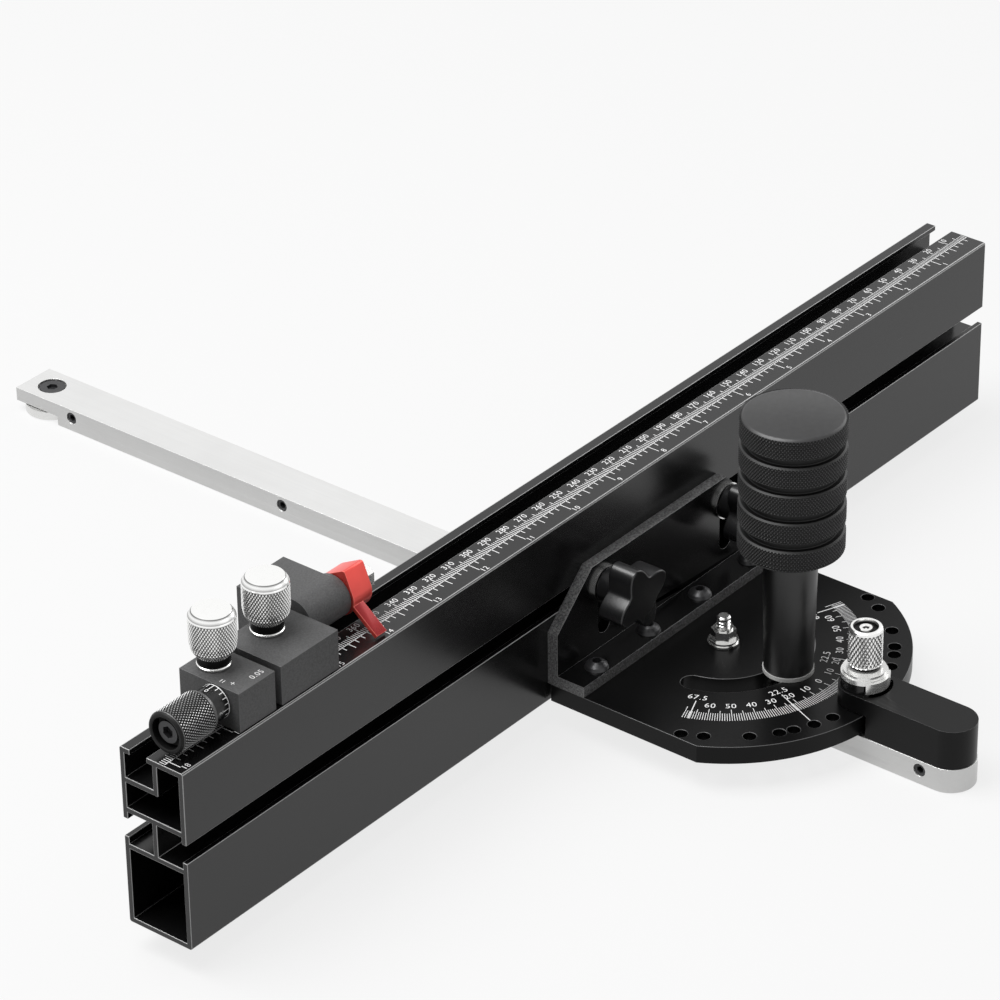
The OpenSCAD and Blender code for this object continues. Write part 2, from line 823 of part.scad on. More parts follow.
// Section of the fence: Y to the right, Z up, near face at the left
module fence_profile() {
    bevel = 0.5;
    in_w = fence_d - 2 * fence_wall;
    mid = fence_d / 2;
    side_low = side_slot_z - side_slot_w / 2;
    cavity_low = side_slot_z - cavity_h / 2;
    cavity_top = side_slot_z + cavity_h / 2;
    cell_low = cavity_top + web;
    top_floor = fence_h - lip - top_cavity_depth;
    top_left = top_slot_y - top_cavity_w / 2;
    difference() {
        polygon([
            [bevel, 0], [fence_d - bevel, 0], [fence_d, bevel], [fence_d, fence_h - bevel],
            [fence_d - bevel, fence_h], [bevel, fence_h], [0, fence_h - bevel], [0, bevel]
        ]);
        translate([fence_wall, fence_wall])
            square([in_w, cavity_low - web - fence_wall]);
        for (side = [-1, 1]) {
            translate([side < 0 ? fence_wall : mid + web / 2, cavity_low])
                square([mid - fence_wall - web / 2, cavity_h]);
            translate([side < 0 ? -cut : fence_d - fence_wall - cut, side_low])
                square([fence_wall + 2 * cut, side_slot_w]);
        }
        translate([fence_wall, cell_low])
            square([in_w, top_floor - web - cell_low]);
        translate([fence_wall, top_floor - web - cut])
            square([top_left - web - fence_wall, fence_h - lip - top_floor + web + cut]);
        translate([top_left, top_floor])
            square([top_cavity_w, top_cavity_depth]);
        translate([strip_w, fence_h - lip - cut])
            square([top_slot_w, lip + 2 * cut]);
    }
}

module fence_extrusion() color("black") {
    translate([fence_left, fence_y, fence_z])
        rotate([90, 0, 90])
            linear_extrude(fence_l)
                fence_profile();
}

module adjuster_block() color("black") {
    difference() {
        translate([adjuster_x - adjuster_l, stop_y, stop_z])
            cube([adjuster_l, stop_depth, stop_h]);
        translate([thumb_xs[0], slot_line_y, stop_z - cut])
            cylinder(d = thumb_screw_d + 2 * turn_fit, h = stop_h + 2 * cut);
        translate([adjuster_x - adjuster_l - cut, micro_y, micro_z])
            along_x(micro_screw_d + 2 * turn_fit, adjuster_l + 2 * cut);
    }
}

module stop_block() color("black") {
    difference() {
        translate([stop_x - stop_l, stop_y, stop_z])
            cube([stop_l, stop_depth, stop_h]);
        translate([thumb_xs[1], slot_line_y, stop_z - cut])
            cylinder(d = thumb_screw_d + 2 * turn_fit, h = stop_h + 2 * cut);
        translate([stop_x - stop_l - cut, micro_y, micro_z])
            along_x(micro_screw_d + 2 * turn_fit, spindle_bore + cut);
        translate([stop_x - hinge_bolt_depth, hinge_y, hinge_z])
            along_x(hinge_bolt_d, hinge_bolt_depth + cut);
    }
}

// A nut in the fence's top slot, with the thumb screw's hole
module slot_nut(x) {
    difference() {
        translate([x - tnut_l / 2, slot_line_y - tnut_w / 2, tnut_z])
            cube([tnut_l, tnut_w, tnut_h]);
        translate([x, slot_line_y, tnut_z - cut])
            cylinder(d = thumb_screw_d + 2 * turn_fit, h = tnut_h + 2 * cut);
    }
}

module adjuster_tnut() color("silver") {
    slot_nut(thumb_xs[0]);
}

module stop_tnut() color("silver") {
    slot_nut(thumb_xs[1]);
}

// Half section of a thumb knob, drawn beside the Z axis
module thumb_profile() {
    foot_r = thumb_foot_d / 2;
    r = thumb_d / 2;
    screw_r = thumb_screw_d / 2;
    difference() {
        polygon([
            [0, 0], [foot_r, 0], [foot_r, 0.9], [foot_r - 0.5, 1.2], [foot_r - 0.3, 4.4],
            [r - 0.5, 7.2], [r, 9], [r, thumb_h - 3.6], [r - 0.4, thumb_h - 2.2],
            [r - 1.9, thumb_h], [0, thumb_h]
        ]);
        translate([0, -cut])
            square([screw_r, thumb_bore + cut]);
    }
}

module thumb_knob(x) {
    translate([x, slot_line_y, stop_top + 0.1])
        rotate_extrude($fn = 96)
            thumb_profile();
}

module thumb_screw(x) {
    translate([x, slot_line_y, tnut_z - 1])
        cylinder(d = thumb_screw_d, h = stop_top + thumb_bore - tnut_z + 1);
}

module adjuster_thumb_screw() color("silver") {
    thumb_screw(thumb_xs[0]);
}

module adjuster_thumb_knob() color("gainsboro") {
    thumb_knob(thumb_xs[0]);
}

module stop_thumb_screw() color("silver") {
    thumb_screw(thumb_xs[1]);
}

module stop_thumb_knob() color("gainsboro") {
    thumb_knob(thumb_xs[1]);
}

module micro_knob() color("black") {
    r = micro_d / 2;
    translate([micro_x, micro_y, micro_z])
        rotate([0, -90, 0])
            difference() {
                rotate_extrude($fn = 96)
                    polygon([
                        [0, 0], [r - 1.4, 0], [r - 0.4, 0.8], [r, 2], [r, micro_l - 1.4],
                        [r - 0.5, micro_l - 0.4], [r - 1.1, micro_l], [0, micro_l]
                    ]);
                translate([0, 0, micro_l - micro_recess])
                    cylinder(d = micro_d - 4, h = micro_recess + cut);
                translate([0, 0, -cut])
                    cylinder(d = micro_screw_d, h = micro_l);
            }
}

module micro_thimble() color("black") {
    translate([thimble_x, micro_y, micro_z])
        rotate([0, -90, 0])
            difference() {
                cylinder(d = thimble_d, h = thimble_l, $fn = 96);
                translate([0, 0, -cut])
                    cylinder(d = micro_screw_d, h = thimble_l + 2 * cut);
            }
}

module micro_screw() color("dimgray") {
    head_x = micro_x - micro_l + micro_recess;
    difference() {
        union() {
            translate([head_x, micro_y, micro_z])
                along_x(micro_screw_d, stop_x - stop_l + spindle_reach - head_x);
            translate([head_x - spindle_head_l, micro_y, micro_z])
                along_x(spindle_head_d, spindle_head_l);
        }
        translate([head_x - spindle_head_l - cut, micro_y, micro_z])
            rotate([0, 90, 0])
                hexagon(spindle_socket_af, spindle_head_l * 0.75 + cut);
    }
}

module arm_bolt() color("silver") {
    low_x = stop_x - hinge_bolt_depth;
    translate([low_x, hinge_y, hinge_z])
        along_x(hinge_bolt_d, arm_washer_x + arm_washer_t + arm_nut_t + bolt_spare - low_x);
}

module arm_washer() color("silver") {
    translate([arm_washer_x, hinge_y, hinge_z])
        difference() {
            along_x(arm_washer_d, arm_washer_t);
            translate([-cut, 0, 0])
                along_x(hinge_bolt_d, arm_washer_t + 2 * cut);
        }
}

module arm_nut() color("silver") {
    translate([arm_washer_x + arm_washer_t, hinge_y, hinge_z])
        difference() {
            rotate([0, 90, 0])
                hexagon(arm_nut_af, arm_nut_t);
            translate([-cut, 0, 0])
                along_x(hinge_bolt_d, arm_nut_t + 2 * cut);
        }
}

module flip_arm() color("black") {
    web_top = hinge_z + knuckle_r;
    leg_y = hinge_y + arm_reach - arm_t;
    difference() {
        union() {
            translate([knuckle_x, hinge_y, hinge_z])
                rotate([0, 90, 0])
                    cylinder(r = knuckle_r, h = knuckle_l, $fn = 96);
            translate([knuckle_x, hinge_y, web_top - arm_t])
                cube([arm_right_x - knuckle_x, arm_reach, arm_t]);
            translate([leg_left_x, leg_y, hinge_z - leg_drop])
                cube([arm_right_x - leg_left_x, arm_t, leg_drop + knuckle_r]);
        }
        translate([knuckle_x - cut, hinge_y, hinge_z])
            along_x(hinge_bolt_d + 2 * turn_fit, knuckle_l + 2 * cut);
        translate([leg_left_x - cut, leg_y + arm_t, hinge_z - leg_drop])
            rotate([45, 0, 0])
                cube([arm_right_x - leg_left_x + 2 * cut, 3, 3], center = false);
    }
}

// A point on the lever's rim, moved sideways
function on_rim(a, shift) = [lever_r * cos(a) - shift, lever_r * sin(a)];

// Side view of the lever's hub: a lip on top, a rim moved towards the user, a round rim
module cam_outline() {
    tip = lip_reach * [cos(lip_angle), sin(lip_angle)];
    polygon([
        tip + [0.9, -0.1], tip, tip + [-0.6, -0.5],
        for (a = [165 : 7.5 : 270]) on_rim(a, lever_shift),
        for (a = [270 : 7 : 424]) on_rim(a, 0)
    ]);
}

// Side view of the paddle, which points down towards the user
module paddle_outline() {
    rotate(paddle_angle)
        translate([paddle_root, -paddle_side - lever_t])
            square([lever_l - paddle_root, lever_t]);
}

module clamp_lever() color("firebrick") {
    translate([lever_x, hinge_y, hinge_z])
        rotate([90, 0, 90])
            difference() {
                union() {
                    linear_extrude(lever_w)
                        cam_outline();
                    linear_extrude(paddle_w)
                        paddle_outline();
                }
                translate([0, 0, -cut])
                    cylinder(d = hinge_bolt_d + 2 * turn_fit, h = lever_w + 2 * cut);
            }
}

miter_bar();
guide_disc();
guide_screw();
side_set_screws();
pointer_block();
block_screws();
pivot_bolt();
pivot_bush();
pivot_shim();
pivot_washer();
pivot_nut();
plunger_pin();
plunger_sleeve();
plunger_collar();
plunger_knob();
handle_washer();
handle_stud();
handle_post();
handle_grip();
protractor_plate();
fence_bracket();
bracket_screws();
clamp_bolts();
clamp_washers();
clamp_knob_left();
clamp_knob_right();
fence_extrusion();
adjuster_block();
adjuster_tnut();
adjuster_thumb_screw();
adjuster_thumb_knob();
micro_knob();
micro_thimble();
micro_screw();
stop_block();
stop_tnut();
stop_thumb_screw();
stop_thumb_knob();
arm_bolt();
arm_washer();
arm_nut();
flip_arm();
clamp_lever();
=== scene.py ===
# %% [markdown]
# # Dressing a miter gauge
# The solids of this gauge come from CAD. They have the right sizes, but flat colours and plain round knobs.
# This lesson keeps them as a fixed frame and gives each surface what the real one shows: black anodising with a fine
# grain, bright edges, real knurls, a printed rule, a degree scale and a polished red lever.

import bpy
import numpy as np
from mathutils import Matrix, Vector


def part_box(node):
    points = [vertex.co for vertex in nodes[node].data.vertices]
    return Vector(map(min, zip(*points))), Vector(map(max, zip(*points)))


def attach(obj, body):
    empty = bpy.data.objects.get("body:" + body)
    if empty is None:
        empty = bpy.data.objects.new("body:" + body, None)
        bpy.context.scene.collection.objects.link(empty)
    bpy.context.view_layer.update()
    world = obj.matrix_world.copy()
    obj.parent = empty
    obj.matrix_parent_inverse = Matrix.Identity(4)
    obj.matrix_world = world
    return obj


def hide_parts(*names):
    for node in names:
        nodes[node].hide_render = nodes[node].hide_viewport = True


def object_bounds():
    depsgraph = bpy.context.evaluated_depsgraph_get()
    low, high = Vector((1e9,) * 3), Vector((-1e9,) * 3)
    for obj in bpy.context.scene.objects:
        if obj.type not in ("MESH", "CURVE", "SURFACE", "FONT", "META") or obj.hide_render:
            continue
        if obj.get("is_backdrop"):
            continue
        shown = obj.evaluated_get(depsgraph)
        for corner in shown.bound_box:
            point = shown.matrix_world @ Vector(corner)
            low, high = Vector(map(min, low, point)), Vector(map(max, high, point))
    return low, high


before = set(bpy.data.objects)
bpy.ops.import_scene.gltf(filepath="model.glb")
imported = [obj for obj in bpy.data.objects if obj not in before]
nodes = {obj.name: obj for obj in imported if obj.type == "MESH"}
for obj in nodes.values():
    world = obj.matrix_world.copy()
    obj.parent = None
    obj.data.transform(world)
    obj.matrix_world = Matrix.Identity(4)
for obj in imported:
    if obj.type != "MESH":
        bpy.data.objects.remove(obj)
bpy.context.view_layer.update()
MM = 0.001
TURN = 2 * np.pi
print("nodes loaded:", len(nodes))

# %% [markdown]
# ## Arithmetic on shader sockets
# A material is a small network of nodes. Writing `0.4 + 0.2 * grain` is easier to read than placing Math nodes one by
# one, so one class wraps an output socket and lets Python's operators add the nodes. Every other node comes from `make`.

# %% A socket that can be added and multiplied
class Wire:
    """An output socket in a node tree; arithmetic on it adds Math nodes, and make adds any other node."""

    def __init__(self, tree, socket=None):
        self.tree = tree
        self.socket = socket

    def make(self, kind, settings=None, inputs=None, out=0):
        node = self.tree.nodes.new("ShaderNode" + kind)
        for name, value in (settings or {}).items():
            if name == "stops":
                ramp = node.color_ramp
                while len(ramp.elements) < len(value):
                    ramp.elements.new(0.5)
                for element, (place, level) in zip(ramp.elements, value):
                    element.position = place
                    element.color = (level, level, level, 1)
            else:
                setattr(node, name, value)
        for key, value in (inputs or {}).items():
            if isinstance(value, Wire):
                self.tree.links.new(value.socket, node.inputs[key])
            else:
                node.inputs[key].default_value = value
        return Wire(self.tree, node.outputs[out])

    def math(self, operation, *values):
        return self.make("Math", {"operation": operation}, dict(enumerate(values)))

    def __add__(self, other):
        return self.math("ADD", self, other)

    def __sub__(self, other):
        return self.math("SUBTRACT", self, other)

    def __rsub__(self, other):
        return self.math("SUBTRACT", other, self)

    def __mul__(self, other):
        return self.math("MULTIPLY", self, other)

    def clamp(self):
        return self.make("Clamp", None, {0: self})

    __radd__ = __add__
    __rmul__ = __mul__


def blend_colours(amount, low, high):
    """A colour that runs from low to high as amount goes from 0 to 1."""
    return amount.make("Mix", {"data_type": "RGBA"}, {0: amount, 6: (*low, 1), 7: (*high, 1)}, out=2)


def noise(coords, scale, detail=2.0, rough=0.5):
    return coords.make("TexNoise", None, {"Vector": coords, "Scale": scale, "Detail": detail, "Roughness": rough})


def stretched(coords, factors):
    """Coordinates multiplied axis by axis, so that a round grain turns into long streaks along the small factor."""
    return coords.make("VectorMath", {"operation": "MULTIPLY"}, {0: coords, 1: factors})


def new_material(name):
    """A material with an empty Principled shader: returns (material, shader node, object coordinates)."""
    material = bpy.data.materials.new(name)
    material.use_nodes = True
    shader = material.node_tree.nodes["Principled BSDF"]
    start = Wire(material.node_tree)
    coords = start.make("TexCoord", None, None, out=3)
    return material, shader, coords


def feed(material, shader, name, value):
    """A Wire is linked to the shader's socket, and a plain number or colour is set on it."""
    if isinstance(value, Wire):
        material.node_tree.links.new(value.socket, shader.inputs[name])
    else:
        shader.inputs[name].default_value = value


def bumped(height, strength, distance):
    return height.make("Bump", None, {"Height": height, "Strength": strength, "Distance": distance})

# %% [markdown]
# ## Black anodised aluminium
# Nearly all of the gauge is aluminium with a black skin. It is a metal, so its gloss is dark and broad. An extruded
# piece keeps faint streaks along its length, and a blasted piece has a fine even grain. Both are noise on object
# coordinates: stretched for streaks, plain for grain.

# %% Anodised finishes
def anodised(name, tone, rough, streaks=None, grain=0.0, grain_scale=1800.0, sheen=0.5, patch=0.06):
    """Dark oxide over metal: tone is its grey, streaks the axis factors of its fine lines, grain its blasted depth."""
    material, shader, coords = new_material(name)
    cloud = noise(coords, 28.0, 3.0)
    roughness = rough + patch * (cloud - 0.5)
    level = cloud * 0.5
    height = None
    if streaks:
        lines = noise(stretched(coords, streaks), 1.0, 3.0, 0.6)
        roughness = roughness + 0.10 * (lines - 0.5)
        level = level + 0.5 * lines
        height = lines * 0.5
    if grain:
        grit = noise(coords, grain_scale, 2.0, 0.7)
        level = level + grain * (grit - 0.5)
        height = grit * 1.0
    spread = 0.25 + 0.2 * grain
    low = [(1 - spread) * c for c in tone]
    high = [(1 + spread) * c for c in tone]
    feed(material, shader, "Base Color", blend_colours(level.clamp(), low, high))
    feed(material, shader, "Roughness", roughness.clamp())
    feed(material, shader, "Metallic", 0.0)
    feed(material, shader, "Specular IOR Level", sheen)
    if height is not None:
        feed(material, shader, "Normal", bumped(height, 0.35 if grain else 0.12, 0.00004))
    return material


ALONG_X = (6.0, 2200.0, 2200.0)
fence_black = anodised("fence_black", (0.0035, 0.0035, 0.0037), 0.24, streaks=ALONG_X, sheen=0.43)
satin_black = anodised("satin_black", (0.004, 0.004, 0.0042), 0.25, sheen=0.38)
post_black = anodised("post_black", (0.004, 0.004, 0.0042), 0.38, sheen=0.6)
pointer_black = anodised("pointer_black", (0.003, 0.003, 0.0031), 0.34, sheen=0.18)
plate_black = anodised("plate_black", (0.0022, 0.0022, 0.0023), 0.32, grain=0.5, sheen=0.15)
grained_black = anodised("grained_black", (0.090, 0.090, 0.091), 0.44, grain=1.0, grain_scale=1500.0, sheen=0.22)
cut_grey = anodised("cut_grey", (0.180, 0.180, 0.181), 0.42, grain=2.2, grain_scale=1400.0, sheen=0.4)
print("anodised finishes made")

# %% [markdown]
# ## Bright edges
# A machined edge is chamfered after the sheet or bar is blasted, and shines as a thin pale line. On the real gauge
# these lines draw every edge. The chamfers are real geometry here, and this lighter material goes on them alone.

# %% The material of the chamfers
def plain_metal(name, tone, rough, metallic=1.0, scratch=0.05, scale=(900.0, 900.0, 900.0), depth=0.1):
    """Bare metal: tone with fine noise in its roughness, so that its gloss isn't one flat sheet."""
    material, shader, coords = new_material(name)
    lines = noise(stretched(coords, scale), 1.0, 3.0, 0.6)
    cloud = noise(coords, 60.0, 2.0)
    low = [0.9 * c for c in tone]
    high = [min(1.0, 1.06 * c) for c in tone]
    feed(material, shader, "Base Color", blend_colours((0.5 * lines + 0.5 * cloud).clamp(), low, high))
    feed(material, shader, "Roughness", (rough + scratch * (lines - 0.5)).clamp())
    feed(material, shader, "Metallic", metallic)
    if depth:
        feed(material, shader, "Normal", bumped(lines, depth, 0.00003))
    return material


edge_grey = plain_metal("edge_grey", (0.30, 0.30, 0.30), 0.30, metallic=0.6, depth=0)
edge_soft = plain_metal("edge_soft", (0.085, 0.085, 0.086), 0.34, metallic=0.3, depth=0)
bare_aluminium = plain_metal("bare_aluminium", (0.74, 0.74, 0.735), 0.30, metallic=0.85, scale=(1500.0, 12.0, 1500.0))
# The milled sides' darker tone is painted shade; their rougher gloss and fine lines are their own.
milled_shaded_side = plain_metal("milled_shaded_side", (0.56, 0.56, 0.555), 0.34, metallic=0.85, scale=(1500.0, 12.0, 1500.0))
bright_steel = plain_metal("bright_steel", (0.76, 0.76, 0.75), 0.20, scratch=0.08)
satin_steel = plain_metal("satin_steel", (0.78, 0.78, 0.77), 0.26, metallic=0.75)
matt_steel = plain_metal("matt_steel", (0.60, 0.60, 0.59), 0.50, metallic=0.35)
red_edge = plain_metal("red_edge", (0.78, 0.16, 0.13), 0.30, metallic=0.5, depth=0)
dark_steel = plain_metal("dark_steel", (0.035, 0.035, 0.037), 0.34, metallic=0.4)
white_nylon = plain_metal("white_nylon", (0.80, 0.79, 0.75), 0.5, metallic=0.0)
black_plastic = anodised("black_plastic", (0.006, 0.006, 0.0065), 0.28, grain=0.25, grain_scale=900.0, sheen=0.5)
print("bare metals made")

# %% [markdown]
# ## Red lever
# The lever is polished and dyed red, so light runs along it in bands. A metallic shader with a clear coat gives the
# deep colour and the white glints together.

# %% Red dyed metal
def dyed_red(name, low, high, metallic):
    """Red metal under a clear coat; slow noise takes the dye from the deeper colour low to high."""
    material, shader, coords = new_material(name)
    cloud = noise(coords, 150.0, 2.0)
    feed(material, shader, "Base Color", blend_colours(cloud, low, high))
    feed(material, shader, "Roughness", (0.24 + 0.1 * cloud).clamp())
    feed(material, shader, "Metallic", metallic)
    feed(material, shader, "Coat Weight", 0.2)
    shader.inputs["Coat Roughness"].default_value = 0.12
    return material


lever_red = dyed_red("dyed_red", (0.66, 0.055, 0.045), (0.84, 0.090, 0.070), 0.6)
# The paddle's far darker copy of the red is painted shade.
paddle_shaded_red = dyed_red("dyed_red_shaded", (0.17, 0.002, 0.003), (0.24, 0.004, 0.006), 0.7)

# %% [markdown]
# ## White print
# The rule, the degree scale and the index marks are thin white paint in shallow cuts. They are flat shapes that lie
# 0.03 mm above the metal, in slightly uneven white.

# %% Paint
def paint():
    material, shader, coords = new_material("white_print")
    cloud = noise(coords, 700.0, 2.0)
    feed(material, shader, "Base Color", blend_colours(cloud, (0.62, 0.62, 0.62), (0.82, 0.82, 0.82)))
    feed(material, shader, "Roughness", 0.55)
    return material


white_print = paint()

# %% [markdown]
# ## Knurled metal
# A knurl is two families of grooves that cross on a cylinder and leave small diamonds standing. Its tops are worn
# bright and its grooves are darker. On the grip and the silver knobs that darker colour is painted shade, and on the
# fine adjuster's black knob it is its anodising. The mesh code below stores how high each point stands, or on smooth
# parts how much painted shade it gets, as a point attribute, and this material mixes its colour by it.

# %% The knurl's material
def knurled(name, groove, top, rough, metallic, start=0.25, end=0.85, patchy=0.5):
    """Colour and roughness from the height of the knurl: groove colour at the bottom, top colour on the diamonds. Where
    the stored value is painted shade, it pulls the colour towards the groove colour, which on the grip and the silver
    knobs is painted shade itself. patchy says how unevenly the tops are worn."""
    material, shader, coords = new_material(name)
    peak = coords.make("Attribute", {"attribute_name": "peak"}, None, out=2)
    wear_and_shade = peak.make("MapRange", {"interpolation_type": "SMOOTHSTEP"}, {0: peak, 1: start, 2: end, 3: 0.0, 4: 1.0})
    specks = noise(coords, 420.0, 2.0)
    wear_and_shade = (wear_and_shade * ((1 - patchy / 2) + patchy * specks)).clamp()
    feed(material, shader, "Base Color", blend_colours(wear_and_shade, groove, top))
    feed(material, shader, "Roughness", (rough + 0.25 - 0.25 * wear_and_shade).clamp())
    feed(material, shader, "Metallic", metallic)
    return material


# silver_knurl's and black_knurl's groove colours are painted shade; worn_knurl's groove colour is the fine knob's black
# anodising.
silver_knurl = knurled("silver_knurl", (0.016, 0.016, 0.016), (0.92, 0.92, 0.91), 0.18, 0.95, 0.12, 0.66, patchy=0.08)
black_knurl = knurled("black_knurl", (0.0015, 0.0015, 0.0015), (0.055, 0.055, 0.056), 0.26, 0.35, 0.45, 1.0)
worn_knurl = knurled("worn_knurl", (0.004, 0.004, 0.004), (0.42, 0.42, 0.42), 0.26, 0.6, 0.5, 1.0)
print("knurled finishes made")

# %% [markdown]
# ## Turned pieces
# The grip and all the small knobs were turned on a lathe, so each is one profile swept round an axis. The profile is a
# list of points with a radius, a place along the axis and how deep the knurl cuts there. The whole grid is worked out
# as arrays.

# %% The lathe
def fill_rows(profile, step):
    """Adds rows between profile points where the knurl runs, each at most step apart, by straight interpolation."""
    rows = [profile[:1]]
    for a, b in zip(profile[:-1], profile[1:]):
        count = 1
        if a[2] > 0 and b[2] > 0:
            count = max(1, int(round(np.hypot(b[0] - a[0], b[1] - a[1]) / step)))
        share = np.arange(1, count + 1)[:, None] / count
        rows.append(a + share * (b - a))
    return np.concatenate(rows)


def knurl_height(turns, along, across, pitch):
    """How high the knurl stands, 0 in a groove and 1 on a top. Grooves lie where across times the turn, plus or minus
    the distance along over the pitch, is a whole number; the height is the distance to the nearest groove of either
    family, cut off at three quarters so that the tops are small flats."""
    u = across * turns
    w = along / pitch
    first = 1 - 2 * np.abs((u + w) % 1 - 0.5)
    second = 1 - 2 * np.abs((u - w) % 1 - 0.5)
    return np.minimum(np.minimum(first, second), 0.75) / 0.75


def turned(name, profile, centre, across=0, pitch=1.7, sides=96, samples=6, axis="z"):
    """A profile of (radius, place along the axis, knurl depth), in mm, turned about an axis through centre. At each
    point the radius is the profile's radius minus its knurl depth times one minus the knurl's height. A depth of 0 is
    smooth and bright, and a negative one is smooth and darker: -1 is as dark as a groove. On the grip and the silver
    knobs that darker colour is painted shade."""
    profile = np.array(profile, dtype=float)
    rows = fill_rows(profile, pitch / samples)
    if across:
        sides = across * samples
    angle = np.arange(sides) * TURN / sides
    radius, along, depth = (rows[:, i][:, None] for i in range(3))
    height = np.ones((len(rows), sides))
    if across:
        height = knurl_height(angle[None, :] / TURN, along, across, pitch)
    # A negative depth stores a darker value in place of the knurl's height; on the grip and the silver knobs it is
    # painted shade.
    height = np.where(depth > 0, height, np.where(depth < 0, 1 + depth, 0.72))
    r = radius - np.maximum(depth, 0) * (1 - height)
    x = r * np.cos(angle)
    y = r * np.sin(angle)
    z = along + np.zeros_like(x)
    grid = np.stack([x, y, z], axis=-1)[1:-1]
    poles = np.array([[0, 0, rows[0, 1]], [0, 0, rows[-1, 1]]])
    points = np.concatenate([grid.reshape(-1, 3), poles])
    if axis == "-x":
        points = np.stack([-points[:, 2], points[:, 1], points[:, 0]], axis=1)
    points = (points + np.array(centre)) * MM
    count = len(grid)
    here = np.arange(sides)
    after = (here + 1) % sides
    base = np.arange(count - 1)[:, None] * sides
    quads = np.stack([base + here, base + after, base + sides + after, base + sides + here], axis=-1).reshape(-1, 4)
    last = (count - 1) * sides
    foot = np.stack([after, here, np.full(sides, count * sides)], axis=1)
    head = np.stack([last + here, last + after, np.full(sides, count * sides + 1)], axis=1)
    faces = [tuple(f) for f in quads.tolist()] + [tuple(f) for f in foot.tolist()] + [tuple(f) for f in head.tolist()]
    mesh = bpy.data.meshes.new(name)
    mesh.from_pydata(points.tolist(), [], faces)
    peak_and_shade_values = np.concatenate([height[1:-1].reshape(-1), [0.72, 0.72]]).astype(np.float32)
    mesh.attributes.new("peak", "FLOAT", "POINT").data.foreach_set("value", peak_and_shade_values)
    mesh.shade_smooth()
    mesh.set_sharp_from_angle(angle=np.radians(28))
    piece = bpy.data.objects.new(name, mesh)
    bpy.context.scene.collection.objects.link(piece)
    print(name, len(points), "points,", len(faces), "faces")
    return piece


def dress(piece, material, body, slot, *stands_for):
    """Gives a new piece its finish, the body it rides on and the CAD nodes it stands for, which it hides. slot is not
    used.
    """
    piece.data.materials.clear()
    for one in material if isinstance(material, list) else [material]:
        piece.data.materials.append(one)
    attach(piece, body)
    if stands_for:
        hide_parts(*stands_for)
    return piece


def limits(node):
    """Lowest and highest corner of a CAD node in mm, and its centre."""
    low, high = (np.array(c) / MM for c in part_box(node))
    return low, high, (low + high) / 2

# %% [markdown]
# ## The grip
# Five knurled rings with smooth grooves between them, and a flat cap with a bright rounded rim. The grooves, the rings'
# undersides and their rounded edges are painted dark as shade.

# %% Turn the grip
low, high, mid = limits("handle_grip")
grip_r = (high[0] - low[0]) / 2
RINGS, RING, GROOVE = 5, 8.4, 2.7
# Painted shade on the smooth parts: the first depth is full shade in the grooves, the second half shade on the rings'
# rounded edges.
DARK, HALF_SHADE = -1.0, -0.45
profile = [(0, 0, DARK), (grip_r - 2.0, 0, DARK)]
for ring in range(RINGS):
    z0 = ring * (RING + GROOVE)
    z1 = z0 + RING
    profile += [(grip_r - 0.9, z0, DARK), (grip_r - 0.25, z0 + 0.5, HALF_SHADE), (grip_r, z0 + 0.7, 0.5),
                (grip_r, z1 - 0.7, 0.5), (grip_r - 0.25, z1 - 0.5, HALF_SHADE), (grip_r - 0.9, z1, HALF_SHADE)]
    if ring < RINGS - 1:
        profile += [(grip_r - 2.4, z1, DARK), (grip_r - 2.55, z1 + 0.25, DARK),
                    (grip_r - 2.55, z1 + GROOVE - 0.25, DARK), (grip_r - 2.4, z1 + GROOVE, DARK)]
profile += [(grip_r - 1.3, high[2] - low[2] - 0.25, 0), (grip_r - 1.9, high[2] - low[2], 0), (0, high[2] - low[2], 0)]
profile[-4] = (grip_r - 0.7, high[2] - low[2] - 0.9, 0)
grip = turned("knurled_grip", profile, (mid[0], mid[1], low[2]), across=96, pitch=1.55, samples=5)
dress(grip, black_knurl, "handle", "black_knurled", "handle_grip")

# %% [markdown]
# ## The silver knobs
# Two thumb screws lock the blocks of the length stop, and a straight knob lifts the index pin. The thumb screws have a
# bright foot ring, a waist painted dark as shade and a polished rounded rim with painted shade on its chamfer.

# %% Turn the thumb screws
# Painted shade on the chamfer of the thumb screws' rim.
SHADED = -0.68


def thumb_profile(height, foot, width):
    """From the foot ring over the waist, painted dark as shade, to the knurled cup, its rounded rim with painted shade
    on its chamfer, and its flat top.
    """
    f, r = foot / 2, width / 2
    return [(0, 0, 0), (f - 0.25, 0, 0), (f, 0.25, 0), (f, 0.8, 0), (f - 0.3, 1.0, 0), (f - 0.2, 1.3, DARK),
            (f - 0.1, 4.1, -0.85), (f, 4.5, 0.2), (r - 1.3, 5.4, 0.36), (r - 0.45, 7.0, 0.42), (r, 9.2, 0.45),
            (r, height - 2.8, 0.45), (r - 0.05, height - 2.6, 0), (r - 0.15, height - 2.1, 0),
            (r - 0.3, height - 1.9, SHADED), (r - 0.9, height - 0.9, -0.35), (r - 1.4, height - 0.3, -0.8), (r - 1.6, height - 0.05, 0),
            (r - 1.9, height, 0), (0, height, 0)]


for node, body in (("adjuster_thumb_knob", "adjuster_thumb"), ("stop_thumb_knob", "stop_thumb")):
    low, high, mid = limits(node)
    knob = turned(node + "_knurled", thumb_profile(high[2] - low[2], 11.7, high[0] - low[0]), (mid[0], mid[1], low[2]),
                  across=46, pitch=1.75)
    dress(knob, silver_knurl, body, "silver_knurled", node)

# %% Turn the index knob
low, high, mid = limits("plunger_knob")
r, h = (high[0] - low[0]) / 2, high[2] - low[2]
